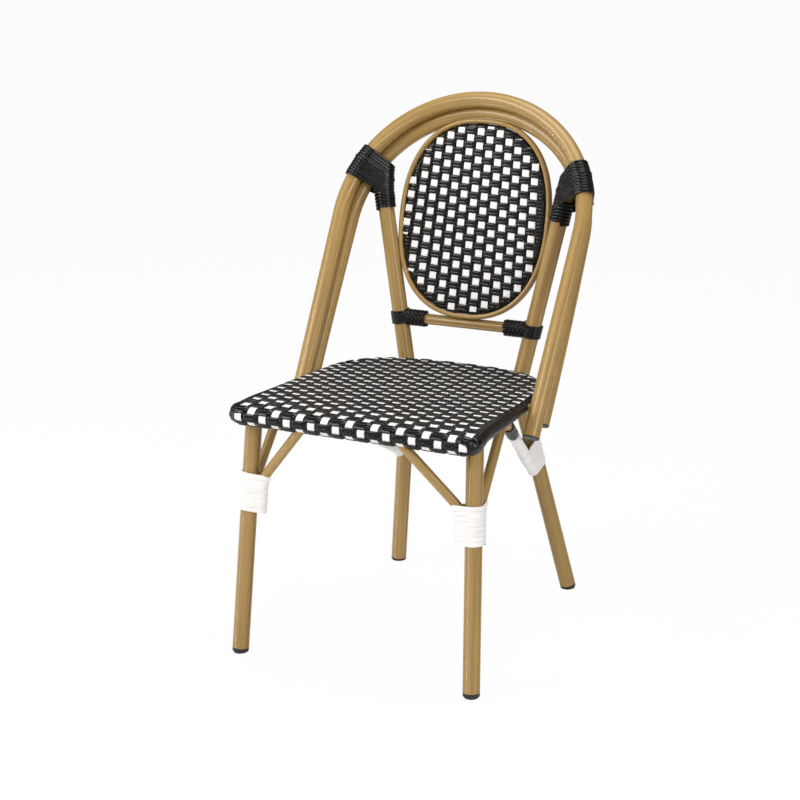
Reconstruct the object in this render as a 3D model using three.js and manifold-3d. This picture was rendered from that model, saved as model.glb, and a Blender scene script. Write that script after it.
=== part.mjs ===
// A stacking bistro armchair: bent, printed aluminium tube with woven plastic seat and back.
// Millimetres. X is the sitter's left to right seen from the front, the chair faces -Y, +Z is up.
import * as THREE from 'three';
import Module from 'manifold-3d';

const wasm = await Module();
wasm.setup();
const V = (x, y, z) => new THREE.Vector3(x, y, z);

// Driving dimensions, read from the photograph with the 28 mm tube as the ruler.
const overallHeight = 890;
const overallDepth = 555;
const tubeDiameter = 28;
const braceDiameter = 16;
const railDiameter = 19;
const seatTubeDiameter = 20;
const tubeWall = 1.5;
const stubDiameter = 12;
const barDiameter = 12;
const seatHeight = 416; // centre of the seat's tube on the chair's middle
const seatPadRadius = 14; // the seat's tube with its strands
const seatFrontY = seatPadRadius - overallDepth / 2;
const fit = 0.45; // between pieces that touch
const slip = 0.3; // round a stem in its bore

// The two hoops of the back and arms.
const hoopHalfWidth = 225.5; // to the tube's centre line, where the arch starts
const hoopEndHalfWidth = 218;
const hoopEndDrop = 43; // from the seat's tube to the end of the outer hoop's tube
const hoopEndHeight = seatHeight - hoopEndDrop;
const hoopArchRise = 192;
const hoopLean = 0.598; // backwards per millimetre of height
const hoopEndY = -41;
const innerEndRaise = 26; // the inner hoop stops this much higher
const intoHoopShare = 0.34; // of the inner hoop's points, where a strap over an upright's end leans to
const nestTopAngle = 55; // at the ends the inner hoop is straight behind the outer one, at 90 degrees

// The rear legs, each one tube with its upright.
const rearFootX = 172.3;
const rearFootInset = 13.2;
const rearFootY = overallDepth / 2 - rearFootInset;
const kneeX = 105.8;
const kneeInset = 94.7;
const kneeY = rearFootY - kneeInset;
const kneeDrop = 24;
const kneeHeight = seatHeight - kneeDrop;
const kneeBend = 60;
const uprightSpread = 0.201; // sideways per millimetre of height
const uprightLean = 0.0995;
const uprightTopDrop = 147;
const uprightTop = overallHeight - uprightTopDrop;

// The front legs.
const frontFootX = 211.8;
const frontFootInset = 6.2;
const frontFootY = seatFrontY + frontFootInset;
const frontLegTaper = 0.0352;
const frontLegLean = 0.0928;

// The seat, a flat outline in a plane that drops a little towards the back.
const seatSlope = -0.02;
const seatStrand = 3.6; // thickness of the woven layer
const seatFrontHalf = 210;
const seatMidHalf = 188.7;
const seatMidY = 4.5;
const seatBackY = 155.5;
const seatCornerRadius = 22;
const seatBackPower = 2.75;
const seatBarPlaces = { seat_front_bar: -150, seat_back_bar: 35 }; // along Y

// The oval of the back, and the rail that it stands on.
const railOverSeat = 78.2;
const railHeight = seatHeight + railOverSeat;
const ringHalfWidth = 138.3;
const ringPower = 2.35;
const ringWidth = 8; // its flat tube stands on edge
const ringDepth = 15;
const ringBehindShares = { bottom: -0.35, top: -0.8 }; // of the contact distance
const tongueThickness = 3; // the panel's edge in the ring's groove
const tongueAhead = 1.2; // in front of the ring's middle
const panelBite = 2.6; // how far the tongue reaches into the groove
const rimWidth = 10; // the wrapped border of the panel
const rimBehind = 5.5;
const sheetBehind = -1.2; // the woven sheet's back and front, from the ring's middle
const sheetAhead = 4;
const strapWidth = 13; // the white straps that stand out of both sheets
const strapRise = 1;
const seatStrapPitch = 21.4;
const backStrapPitch = 20;
const backStrapShift = -4;

// Braces and wrappings.
const braceEndHeight = 236;
const braceStraight = 64; // up to where it bends away from the leg
const braceBendHeight = braceEndHeight + braceStraight;
const braceBend = 40;
const frontBraceTopX = 88;
const sideBraceTopY = -119;
const rearBraceEndHeight = 222;
const rearBraceStraight = 24;
const rearBraceBendHeight = rearBraceEndHeight + rearBraceStraight;
const rearBraceTop = { x: 193, y: -90 };
const strapThickness = 1.4;
const strapGap = 0.75; // between neighbouring turns
const strapClear = 1.4; // between a strap and the ideal round of a tube
const hoopWrap = { over: overallHeight, from: -149, to: -110 }; // heights on the outer hoop's centre line
const uprightWrap = { over: uprightTop, from: -62, to: -45 };
const frontLegWrap = { over: braceEndHeight, from: 7, to: 77 };
const rearLegWrap = { over: rearBraceEndHeight, from: 13, to: 65 };
const rearBraceWrap = { over: seatHeight, from: -102, to: -50 };
const seatBraceWrap = { over: seatHeight, from: -48, to: -28 };
const sleeveThickness = 2.2;
const postSleeveLength = 24;
const railSleeveLength = 33;

// Caps and plugs.
const capHeight = 8;
const capChamfer = 2.5;
const stemLength = 16;
const plugFace = 2.4;
const plugRounding = 0.8;

const R = tubeDiameter / 2;
const braceR = braceDiameter / 2;
const seatR = seatTubeDiameter / 2;
const railR = railDiameter / 2;
const ringEndR = ringWidth / 2;
const ringSpread = ringDepth / 2 - ringEndR; // from the section's middle to those of its round ends
const stubR = stubDiameter / 2;
const barR = barDiameter / 2;
const cutPast = 1; // how far a cutter runs past what it cuts

// Corners of the sections
const hoopSides = 14;
const braceSides = 10;
const boreSides = 6;
const padSides = 10;
const smallSides = 8;

const materials = {
  bamboo_print: { color: 0xa88950, roughness: 0.38, metalness: 0.1 },
  black_strand: { color: 0x232120, roughness: 0.45, metalness: 0 },
  white_strand: { color: 0xefeaea, roughness: 0.5, metalness: 0 },
  woven_strands: { color: 0x6f6b69, roughness: 0.5, metalness: 0 },
  black_plastic: { color: 0x1c1c1c, roughness: 0.5, metalness: 0 },
};

const chair = new THREE.Group();
chair.name = 'bistro_chair';

// Solids from meshes

function toSolid(corners, faces) {
  const vertProperties = new Float32Array(corners.flatMap((p) => [p.x, p.y, p.z]));
  const mesh = new wasm.Mesh({ numProp: 3, vertProperties, triVerts: new Uint32Array(faces.flat()) });
  return new wasm.Manifold(mesh);
}

function addPart(name, solid, material) {
  const mesh = solid.getMesh();
  const geometry = new THREE.BufferGeometry();
  geometry.setAttribute('position', new THREE.BufferAttribute(mesh.vertProperties, 3));
  geometry.setIndex(new THREE.BufferAttribute(mesh.triVerts, 1));
  geometry.computeVertexNormals();
  const part = new THREE.Mesh(geometry, new THREE.MeshStandardMaterial(materials[material]));
  part.name = name;
  part.material.name = material;
  chair.add(part);
}

const mirror = (solid) => solid.mirror([1, 0, 0]);

// Parts that come in pairs are made on the right and mirrored.
function addPair(name, solid, material) {
  addPart(`left_${name}`, mirror(solid), material);
  addPart(`right_${name}`, solid, material);
}

// Joins rings of corners, all the same length, into a closed skin.
function skinOf(rings, loop) {
  const size = rings[0].length;
  const faces = [];
  const last = loop ? rings.length : rings.length - 1;
  for (let i = 0; i < last; i++) {
    const a = i * size;
    const b = ((i + 1) % rings.length) * size;
    for (let j = 0; j < size; j++) {
      const k = (j + 1) % size;
      faces.push([a + j, a + k, b + k], [a + j, b + k, b + j]);
    }
  }
  if (!loop) {
    const end = (rings.length - 1) * size;
    for (let j = 1; j < size - 1; j++) {
      faces.push([0, j + 1, j], [end, end + j, end + j + 1]);
    }
  }
  return toSolid(rings.flat(), faces);
}

function tangents(path, loop) {
  return path.map((p, i) => {
    const before = path[i - 1] ?? (loop ? path[path.length - 1] : p);
    const after = path[i + 1] ?? (loop ? path[0] : p);
    const into = p.clone().sub(before).normalize();
    const out = after.clone().sub(p).normalize();
    return into.add(out).normalize();
  });
}

function circle(radius, sides) {
  return Array.from({ length: sides }, (_, k) => {
    const angle = (2 * Math.PI * (k + 0.5)) / sides;
    return [radius * Math.cos(angle), radius * Math.sin(angle)];
  });
}

// A section set square to a path at each of its points. Its upward side stays near the axis.
function sectionsAlong(path, section, axis, loop) {
  const along = tangents(path, loop);
  return path.map((p, i) => {
    const up = axis.clone().addScaledVector(along[i], -axis.dot(along[i])).normalize();
    const side = new THREE.Vector3().crossVectors(up, along[i]);
    return section.map(([across, high]) => p.clone().addScaledVector(side, across).addScaledVector(up, high));
  });
}

function sweep(path, section, axis, loop = false) {
  return skinOf(sectionsAlong(path, section, axis, loop), loop);
}

// A flat body. The section is its edge, from the lower face to the upper one, and runs round a closed
// path, anticlockwise as seen from the axis. Across is inwards.
function flatBody(path, edge, axis) {
  const placed = sectionsAlong(path, edge, axis, true);
  return skinOf(edge.map((_, k) => placed.map((points) => points[k])), false);
}

const rod = (path, radius, sides, axis, loop) => sweep(path, circle(radius, sides), axis, loop);

function longer(path, start, end) {
  const first = path[0].clone().sub(path[1]).normalize();
  const last = path[path.length - 1].clone().sub(path[path.length - 2]).normalize();
  return [
    path[0].clone().addScaledVector(first, start),
    ...path.slice(1, -1),
    path[path.length - 1].clone().addScaledVector(last, end),
  ];
}

function pipe(path, radius, sides, axis) {
  const bore = rod(longer(path, cutPast, cutPast), radius - tubeWall, boreSides, axis);
  return rod(path, radius, sides, axis).subtract(bore);
}

function without(solid, ...cutters) {
  return cutters.flat().reduce((rest, cutter) => rest.subtract(cutter), solid);
}

// A path through corners, with each inner corner rounded.
function bent(corners, radius, steps) {
  const points = [corners[0]];
  for (let i = 1; i < corners.length - 1; i++) {
    const back = corners[i - 1].clone().sub(corners[i]).normalize();
    const on = corners[i + 1].clone().sub(corners[i]).normalize();
    const half = back.angleTo(on) / 2;
    const centre = back.clone().add(on).normalize().multiplyScalar(radius / Math.sin(half)).add(corners[i]);
    const from = corners[i].clone().addScaledVector(back, radius / Math.tan(half)).sub(centre);
    const to = corners[i].clone().addScaledVector(on, radius / Math.tan(half)).sub(centre);
    const sweep = from.angleTo(to);
    const axis = new THREE.Vector3().crossVectors(from, to).normalize();
    for (let k = 0; k <= steps; k++) {
      points.push(from.clone().applyAxisAngle(axis, (sweep * k) / steps).add(centre));
    }
  }
  points.push(corners[corners.length - 1]);
  return points;
}

function spin(profile, sides, base, axis) {
  const turn = new THREE.Quaternion().setFromUnitVectors(V(0, 0, 1), axis);
  const rings = profile.map(([radius, height]) =>
    Array.from({ length: sides }, (_, k) => {
      const angle = (2 * Math.PI * (k + 0.5)) / sides;
      return V(radius * Math.cos(angle), radius * Math.sin(angle), height).applyQuaternion(turn).add(base);
    }),
  );
  return skinOf(rings, false);
}

const flipped = (path) => path.map((p) => V(-p.x, p.y, p.z));

// Centre lines, each made once for the right side or for the whole hoop

const hoopPlaneUp = V(0, hoopLean, 1).normalize();
const hoopPlaneBack = V(0, hoopPlaneUp.z, -hoopPlaneUp.y);

function hoopLine(endHeight) {
  const archStart = overallHeight - R - hoopArchRise;
  const legSteps = 5;
  const archSteps = 20;
  const at = (x, z) => V(x, hoopEndY + hoopLean * (z - hoopEndHeight), z);
  const leg = Array.from({ length: legSteps }, (_, k) => {
    const z = THREE.MathUtils.lerp(endHeight, archStart, k / legSteps);
    const share = (z - hoopEndHeight) / (archStart - hoopEndHeight);
    return at(THREE.MathUtils.lerp(hoopEndHalfWidth, hoopHalfWidth, share), z);
  });
  const arch = Array.from({ length: archSteps + 1 }, (_, k) => {
    const angle = (Math.PI * k) / archSteps;
    return at(hoopHalfWidth * Math.cos(angle), archStart + hoopArchRise * Math.sin(angle));
  });
  return [...leg, ...arch, ...flipped(leg).reverse()];
}

// The inner hoop lies behind the outer one at the arms and comes in under it towards the top.
function nestedLine(path) {
  const distance = tubeDiameter + fit;
  const crown = overallHeight - R;
  const along = tangents(path, false);
  const top = THREE.MathUtils.degToRad(nestTopAngle);
  return path.map((p, i) => {
    const inward = new THREE.Vector3().crossVectors(along[i], hoopPlaneBack);
    const share = (p.z - hoopEndHeight) / (crown - hoopEndHeight);
    const angle = THREE.MathUtils.lerp(top, Math.PI / 2, Math.cos((Math.PI / 2) * share));
    return p.clone().addScaledVector(inward, distance * Math.cos(angle))
      .addScaledVector(hoopPlaneBack, distance * Math.sin(angle));
  });
}

const outerLine = hoopLine(hoopEndHeight);
const innerLine = nestedLine(hoopLine(hoopEndHeight + innerEndRaise));

function uprightAt(z) {
  const rise = z - kneeHeight;
  return V(kneeX + uprightSpread * rise, kneeY + uprightLean * rise, z);
}

const rearCorners = [V(rearFootX, rearFootY, 0), V(kneeX, kneeY, kneeHeight), uprightAt(uprightTop)];
const rearLine = bent(rearCorners, kneeBend, 5);

function frontLegAt(z) {
  return V(frontFootX - frontLegTaper * z, frontFootY + frontLegLean * z, z);
}

function rearLegAt(z) {
  return V(rearFootX, rearFootY, 0).lerp(V(kneeX, kneeY, kneeHeight), z / kneeHeight);
}

// The seat's outline, in its own plane.
function seatOutline(inset, cornerSteps, backSteps) {
  const radius = seatCornerRadius - inset;
  const cornerX = seatFrontHalf - seatCornerRadius;
  const cornerY = seatFrontY + seatCornerRadius;
  const corner = Array.from({ length: cornerSteps + 1 }, (_, k) => {
    const angle = (Math.PI / 2) * (k / cornerSteps);
    return [cornerX + radius * Math.sin(angle), cornerY - radius * Math.cos(angle)];
  });
  const back = Array.from({ length: backSteps }, (_, k) => {
    const angle = (Math.PI / 2) * (k / backSteps);
    const wide = seatMidHalf - inset;
    const deep = seatBackY - seatMidY - inset;
    const power = 2 / seatBackPower;
    return [wide * Math.cos(angle) ** power, seatMidY + deep * Math.sin(angle) ** power];
  });
  const half = [...corner, ...back].map(([x, y]) => V(x, y, 0));
  const middle = [V(0, seatBackY - inset, 0)];
  return [...half, ...middle, ...flipped(half).reverse()];
}

const seatAngle = Math.atan(seatSlope);
const seatUp = V(0, -Math.sin(seatAngle), Math.cos(seatAngle));
const toSeat = (p) => p.applyAxisAngle(V(1, 0, 0), seatAngle).add(V(0, 0, seatHeight));
const seatZ = (y) => seatHeight + seatSlope * y;
const seatLine = seatOutline(0, 3, 9).map(toSeat);

// The ring's section has a round end at its back, which touches the rail below and the inner hoop above.
function ringEnds() {
  const rail = uprightAt(railHeight);
  const low = railR * Math.cos(Math.PI / braceSides) + ringEndR;
  const high = R + ringEndR + 2 * fit + slip;
  const crown = innerLine[(innerLine.length - 1) / 2];
  const { bottom, top } = ringBehindShares;
  return [
    V(0, rail.y + low * bottom, railHeight + low * Math.sqrt(1 - bottom ** 2)),
    V(0, crown.y + high * top, crown.z - high * Math.sqrt(1 - top ** 2)),
  ];
}

const [ringBottom, ringTop] = ringEnds();
const ringUp = ringTop.clone().sub(ringBottom).normalize();
const ringBack = V(0, ringUp.z, -ringUp.y);
const ringHalfHeight = ringTop.distanceTo(ringBottom) / 2;
const ringCentre = ringTop.clone().add(ringBottom).multiplyScalar(0.5).addScaledVector(ringBack, -ringSpread);

const onRing = (x, high, ahead) => V(x, 0, 0).add(ringCentre).addScaledVector(ringUp, high)
  .addScaledVector(ringBack, -ahead);

function ringOutline(inset) {
  const steps = 30;
  const bow = (value) => Math.sign(value) * Math.abs(value) ** (2 / ringPower);
  return Array.from({ length: steps }, (_, k) => {
    const angle = (2 * Math.PI * k) / steps;
    const [wide, high] = [ringHalfWidth - inset, ringHalfHeight - inset];
    return onRing(wide * bow(Math.cos(angle)), high * bow(Math.sin(angle)), 0);
  });
}

// Braces, for the right side

function frontBraceLine() {
  const apart = V(-(R + braceR + fit), 0, 0);
  const top = V(frontBraceTopX, seatFrontY, seatZ(seatFrontY) - seatR);
  const low = frontLegAt(braceEndHeight).add(apart);
  return bent([low, frontLegAt(braceBendHeight).add(apart), top], braceBend, 4);
}

function sideBraceLine() {
  const apart = V(0, (R + braceR + fit) * Math.hypot(1, frontLegLean), 0);
  const share = (sideBraceTopY - seatFrontY) / (seatMidY - seatFrontY);
  const topX = THREE.MathUtils.lerp(seatFrontHalf, seatMidHalf, share);
  const top = V(topX, sideBraceTopY, seatZ(sideBraceTopY) - seatR);
  const low = frontLegAt(braceEndHeight).add(apart);
  return bent([low, frontLegAt(braceBendHeight).add(apart), top], braceBend, 4);
}

function rearBraceLine() {
  const apart = V(0, -(R + braceR + fit) * Math.hypot(1, (rearFootY - kneeY) / kneeHeight), 0);
  const top = V(rearBraceTop.x, rearBraceTop.y, seatZ(rearBraceTop.y) - seatR);
  const low = rearLegAt(rearBraceEndHeight).add(apart);
  return bent([low, rearLegAt(rearBraceBendHeight).add(apart), top], braceBend / 2, 4);
}

const braces = { front_brace: frontBraceLine(), side_brace: sideBraceLine(), rear_brace: rearBraceLine() };
const frontLegTop = frontLegAt(seatZ(frontLegAt(seatHeight).y) - seatR + 2 * tubeWall);
const frontLegLine = [frontLegAt(0), frontLegTop];
const railEnd = uprightAt(railHeight);
const railLine = [V(-railEnd.x, railEnd.y, railEnd.z), railEnd];
const barLine = (y) => [V(-seatFrontHalf, y, seatZ(y)), V(seatFrontHalf, y, seatZ(y))];

// The two points where a pair of centre lines come closest
function closest(first, second) {
  const between = 16;
  const shares = Array.from({ length: between }, (_, k) => k / between);
  const dense = (path) =>
    path.slice(1).flatMap((p, i) => shares.map((share) => path[i].clone().lerp(p, share)));
  let best = [first[0], second[0]];
  for (const a of dense(first)) {
    for (const b of dense(second)) {
      if (a.distanceTo(b) < best[0].distanceTo(best[1])) best = [a, b];
    }
  }
  return best;
}

// Stubs weld the seat's tube to the outer hoop and to the uprights.
const rightHalf = (path) => path.filter((p) => p.x > 0);
const stubLines = {
  hoop_stub: closest(rightHalf(seatLine), rightHalf(outerLine)),
  upright_stub: closest(rightHalf(seatLine), rearLine),
};

// Round solids of the tubes, also grown by a clearance so that they cut their neighbours

const upward = V(0, 0, 1);
const backward = V(0, 1, 0);
const hoopRod = (path, grow) => rod(path, R + grow, hoopSides, hoopPlaneBack);
const legRod = (path, grow) => rod(path, R + grow, hoopSides, backward);
const braceRod = (path, grow) => rod(path, braceR + grow, braceSides, backward);
const stubRod = (path, grow) => rod(path, stubR + grow, smallSides, upward);
const barRod = (path, grow) => rod(path, barR + grow, boreSides, upward);
const railRod = (path, grow) => rod(path, railR + grow, braceSides, upward);
const seatRod = (radius, sides) => rod(seatLine, radius, sides, seatUp, true);

const seatCut = seatRod(seatR + fit, smallSides);
const innerCut = hoopRod(innerLine, fit);
const outerCut = hoopRod(outerLine, fit);
const uprightCut = legRod(rearLine, fit);

// Frame

function addHoops() {
  addPart('outer_hoop', pipe(outerLine, R, hoopSides, hoopPlaneBack), 'bamboo_print');
  addPart('inner_hoop', pipe(innerLine, R, hoopSides, hoopPlaneBack), 'bamboo_print');
}

function addLegs() {
  const rear = pipe(longer(rearLine, -capHeight, 0), R, hoopSides, backward);
  addPair('rear_leg', rear.subtract(innerCut), 'bamboo_print');
  const front = pipe(longer(frontLegLine, -capHeight, 0), R, hoopSides, backward);
  addPair('front_leg', front.subtract(seatCut), 'bamboo_print');
}

function addBraces() {
  for (const [name, line] of Object.entries(braces)) {
    addPair(name, pipe(line, braceR, braceSides, backward).subtract(seatCut), 'bamboo_print');
  }
}

function addStubs() {
  for (const [name, line] of Object.entries(stubLines)) {
    addPair(name, without(stubRod(line, 0), seatCut, outerCut, uprightCut), 'bamboo_print');
  }
}

function addSeatFrame() {
  const [low, high] = [V(0, seatBackY, 0), V(0, seatBackY, seatHeight)];
  const drain = rod([low, high], tubeWall, boreSides, backward);
  const bore = seatRod(seatR - tubeWall, boreSides);
  addPart('seat_frame', without(seatRod(seatR, smallSides), bore, drain), 'bamboo_print');
  for (const [name, y] of Object.entries(seatBarPlaces)) {
    const [bar] = barRod(barLine(y), 0).subtract(seatCut).decompose().sort((a, b) => b.volume() - a.volume());
    addPart(name, bar, 'bamboo_print');
  }
}

// Woven pieces

function seatOpenings() {
  const rightCutters = [
    legRod(longer(frontLegLine, 0, cutPast), fit),
    ...Object.values(braces).map((line) => braceRod(longer(line, 0, cutPast), fit)),
    ...Object.values(stubLines).map((line) => stubRod(longer(line, cutPast, 0), fit)),
  ];
  const bars = Object.values(seatBarPlaces).map((y) => barRod(barLine(y), fit));
  return [seatCut, ...bars, ...rightCutters, ...rightCutters.map(mirror)];
}

// The pad's edge: round the frame tube from the underside of the woven sheet to its top
function padEdge() {
  const under = seatPadRadius - seatStrand;
  const start = Math.asin(under / seatPadRadius);
  return Array.from({ length: padSides + 1 }, (_, k) => {
    const angle = THREE.MathUtils.lerp(start, -1.5 * Math.PI, k / padSides);
    return [seatPadRadius * Math.cos(angle), seatPadRadius * Math.sin(angle)];
  });
}

// The height of a rounded oval's edge over its middle, at a place across it
function ovalRise(x, halfWidth, halfHeight, power) {
  return halfHeight * (1 - (x / halfWidth) ** power) ** (1 / power);
}

// A strap on a sheet, between two ends, with one face sunk in the sheet
function strap(x, low, high, place, face) {
  const half = strapWidth / 2;
  const corners = [[x - half, low], [x + half, low], [x + half, high], [x - half, high]];
  const levels = [face - cutPast, face + strapRise];
  return skinOf(levels.map((level) => corners.map(([across, along]) => place(across, along, level))), false);
}

function seatStraps() {
  const count = Math.floor((seatMidHalf - strapWidth / 2) / seatStrapPitch);
  return Array.from({ length: 2 * count + 1 }, (_, k) => {
    const x = (k - count) * seatStrapPitch;
    const deep = ovalRise(Math.abs(x) + strapWidth / 2, seatMidHalf, seatBackY - seatMidY, seatBackPower);
    return strap(x, seatFrontY, seatMidY + deep, (...p) => toSeat(V(...p)), seatPadRadius);
  });
}

function addSeatWeave() {
  const pad = wasm.Manifold.union([flatBody(seatLine, padEdge(), seatUp), ...seatStraps()]);
  addPart('seat_weave', without(pad, ...seatOpenings()), 'woven_strands');
}

// The ring's section, with a groove on its inner side for the woven panel
function groovedSection() {
  const half = tongueThickness / 2 + slip;
  const arcSteps = 4;
  const arc = (middle, start) => Array.from({ length: arcSteps + 1 }, (_, k) => {
    const angle = start + (Math.PI * k) / arcSteps;
    return [ringEndR * Math.cos(angle), middle + ringEndR * Math.sin(angle)];
  });
  const floor = panelBite + slip - ringEndR;
  const [back, front] = [half - tongueAhead, -half - tongueAhead];
  const groove = [[-ringEndR, back], [floor, back], [floor, front], [-ringEndR, front]];
  return [...arc(-ringSpread, -Math.PI), ...arc(ringSpread, 0), ...groove];
}

// The panel's edge, from the back of the sheet round its wrapped border and its tongue to the sheet's front
function panelEdge() {
  const wall = panelBite + slip;
  const half = tongueThickness / 2;
  const [back, front] = [tongueAhead - half, tongueAhead + half];
  const border = [[wall + rimWidth, -sheetBehind], [wall + rimWidth / 2, -rimBehind], [wall, back]];
  const tongue = [[0, back], [0, front], [wall, front]];
  return [...border, ...tongue, [wall + strapRise, sheetAhead]];
}

function backStraps() {
  const inset = ringEndR + slip + strapRise;
  const halfWidth = ringHalfWidth - inset;
  const count = Math.floor((halfWidth - strapWidth / 2 + backStrapShift) / backStrapPitch);
  return Array.from({ length: 2 * count + 1 }, (_, k) => {
    const x = (k - count) * backStrapPitch + backStrapShift;
    const high = ovalRise(Math.abs(x) + strapWidth / 2, halfWidth, ringHalfHeight - inset, ringPower);
    return strap(x, -high, high, onRing, sheetAhead);
  });
}

function addBack() {
  addPart('back_ring', sweep(ringOutline(0), groovedSection(), ringBack, true), 'bamboo_print');
  const sheet = flatBody(ringOutline(ringEndR - panelBite), panelEdge(), ringBack.clone().negate());
  const panel = wasm.Manifold.union([sheet, ...backStraps()]);
  addPart('back_weave', panel, 'woven_strands');
  const rail = pipe(railLine, railR, braceSides, upward);
  addPart('back_rail', without(rail, uprightCut, mirror(uprightCut)), 'bamboo_print');
}

// Caps and plugs

const stemR = (R - tubeWall) * Math.cos(Math.PI / boreSides) - slip;

function addCaps() {
  const sole = [[R - capChamfer, -capHeight], [R - capChamfer, 0], [R, capChamfer], [R, capHeight - slip]];
  const stem = [[stemR, capHeight - slip], [stemR, capHeight + stemLength]];
  for (const [leg, [foot, next]] of [['front', frontLegLine], ['rear', rearLine]]) {
    const cap = spin([...sole, ...stem], hoopSides, foot, next.clone().sub(foot).normalize());
    addPair(`${leg}_cap`, cap.trimByPlane([0, 0, 1], 0), 'black_plastic');
  }
}

function addPlugs() {
  const face = [[R - plugRounding, -plugFace], [R, plugRounding - plugFace], [R, -slip]];
  const profile = [...face, [stemR, -slip], [stemR, stemLength]];
  for (const [hoop, [end, next]] of [['outer', outerLine], ['inner', innerLine]]) {
    const plug = spin(profile, hoopSides, end, next.clone().sub(end).normalize());
    addPair(`${hoop}_plug`, plug, 'black_plastic');
  }
}

// Bound joints

// The strands on the rail's joints are braided, so they are plain sleeves here.
function addRailWraps() {
  const half = postSleeveLength / 2;
  const post = [uprightAt(railHeight - half), uprightAt(railHeight + half)];
  const arm = [railEnd, V(railEnd.x - R - railSleeveLength, railEnd.y, railEnd.z)];
  const sleeve = legRod(post, sleeveThickness).add(railRod(arm, sleeveThickness));
  addPair('rail_wrap', without(sleeve, uprightCut, railRod(railLine, fit)), 'black_strand');
}

// Where a path crosses a plane, nearest to the plane's base
function crossing(path, plane) {
  const height = (p) => p.clone().sub(plane.base).dot(plane.normal);
  const cuts = [];
  for (let i = 1; i < path.length; i++) {
    const a = height(path[i - 1]);
    const b = height(path[i]);
    if (a * b > 0) continue;
    const along = path[i].clone().sub(path[i - 1]).normalize();
    cuts.push({ point: path[i - 1].clone().lerp(path[i], a / (a - b)), along });
  }
  return cuts.sort((a, b) => a.point.distanceTo(plane.base) - b.point.distanceTo(plane.base))[0];
}

// The oval in which a plane cuts a round tube, in the plane's own two axes
function ovalIn(plane, { path, radius }) {
  const { point, along } = crossing(path, plane);
  const side = new THREE.Vector3().crossVectors(along, plane.across).normalize();
  const up = new THREE.Vector3().crossVectors(side, along);
  return circle(radius, 32).map(([across, high]) => {
    const out = side.clone().multiplyScalar(across).addScaledVector(up, high);
    out.addScaledVector(along, -out.dot(plane.normal) / along.dot(plane.normal)).add(point).sub(plane.base);
    return new THREE.Vector2(out.dot(plane.across), out.dot(plane.up));
  });
}

function hullOf(points) {
  const sorted = points.slice().sort((a, b) => a.x - b.x || a.y - b.y);
  const chain = (list) => {
    const kept = [];
    for (const p of list) {
      while (kept.length > 1) {
        const [a, b] = kept.slice(-2);
        if (b.clone().sub(a).cross(p.clone().sub(b)) > 0) break;
        kept.pop();
      }
      kept.push(p);
    }
    return kept.slice(0, -1);
  };
  return [...chain(sorted), ...chain(sorted.reverse())];
}

// The place at a share of the way round a hull. Corners take more of the way than straight stretches.
function roundHull(hull, share) {
  const start = hull.reduce((best, p, i) => (p.x > hull[best].x ? i : best), 0);
  const at = (i) => hull[(start + i + hull.length) % hull.length];
  const edges = hull.map((_, i) => at(i + 1).clone().sub(at(i)));
  const turns = edges.map((edge, i) => Math.abs(edges[(i + edges.length - 1) % edges.length].angleTo(edge)));
  const whole = edges.reduce((sum, edge) => sum + edge.length(), 0);
  const lengthShare = 0.1;
  const parts = edges.map((edge, i) => {
    const turned = (turns[i] + turns[(i + 1) % edges.length]) / (4 * Math.PI);
    return lengthShare * (edge.length() / whole) + (1 - lengthShare) * turned;
  });
  let left = share * parts.reduce((sum, part) => sum + part, 0);
  let i = 0;
  while (i < parts.length - 1 && left > parts[i]) {
    left -= parts[i];
    i += 1;
  }
  const outAt = (k) => {
    const along = at(k + 1).clone().sub(at(k - 1)).normalize();
    return new THREE.Vector2(along.y, -along.x);
  };
  const part = Math.min(1, left / parts[i]);
  return { spot: at(i).clone().lerp(at(i + 1), part), out: outAt(i).lerp(outAt(i + 1), part).normalize() };
}

// A plane part of the way between two others
function planeBetween(from, to, share) {
  const guide = V(from.normal.y, -from.normal.x, 0).normalize();
  const normal = from.normal.clone().lerp(to.normal, share).normalize();
  const up = new THREE.Vector3().crossVectors(normal, guide).normalize();
  const across = new THREE.Vector3().crossVectors(up, normal);
  return { base: from.base.clone().lerp(to.base, share), normal, across, up };
}

// One flat strap, an unbroken band wound round tubes between two planes
function winding(name, { binds, from, to, loops, steps }) {
  const members = binds.map(({ path, radius }) => ({ path, radius: radius + strapClear }));
  const placeOn = (share, roundShare) => {
    const plane = planeBetween(from, to, share);
    const { spot, out } = roundHull(hullOf(members.flatMap((member) => ovalIn(plane, member))), roundShare);
    const inPlane = (v) => plane.across.clone().multiplyScalar(v.x).addScaledVector(plane.up, v.y);
    return { point: inPlane(spot).add(plane.base), out: inPlane(out) };
  };
  const half = 1 / (2 * (loops + 1));
  const rings = Array.from({ length: loops * steps + 1 }, (_, step) => {
    const share = THREE.MathUtils.lerp(half, 1 - half, step / (loops * steps));
    const low = placeOn(share - half, (step % steps) / steps);
    const high = placeOn(share + half, (step % steps) / steps);
    const edge = strapGap / 2 / low.point.distanceTo(high.point);
    const a = low.point.clone().lerp(high.point, edge);
    const b = high.point.clone().lerp(low.point, edge);
    const c = b.clone().addScaledVector(high.out, strapThickness);
    const d = a.clone().addScaledVector(low.out, strapThickness);
    return [a, b, c, d];
  });
  console.log(`${name}: ${loops} loops, least gap to itself ${leastGap(rings, steps).toFixed(2)} mm`);
  return skinOf(rings, false);
}

// The least distance between points of a band that lie at least half a loop apart along it
function leastGap(rings, steps) {
  const between = 3;
  const shares = Array.from({ length: between }, (_, k) => k / between);
  const points = rings.slice(1).flatMap((ring, i) =>
    shares.map((share) => ring.map((p, j) => rings[i][j].clone().lerp(p, share))),
  );
  let least = Infinity;
  points.forEach((ring, i) => {
    for (const q of points.slice(i + (between * steps) / 2).flat()) {
      for (const p of ring) least = Math.min(least, p.distanceTo(q));
    }
  });
  return least;
}

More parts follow.
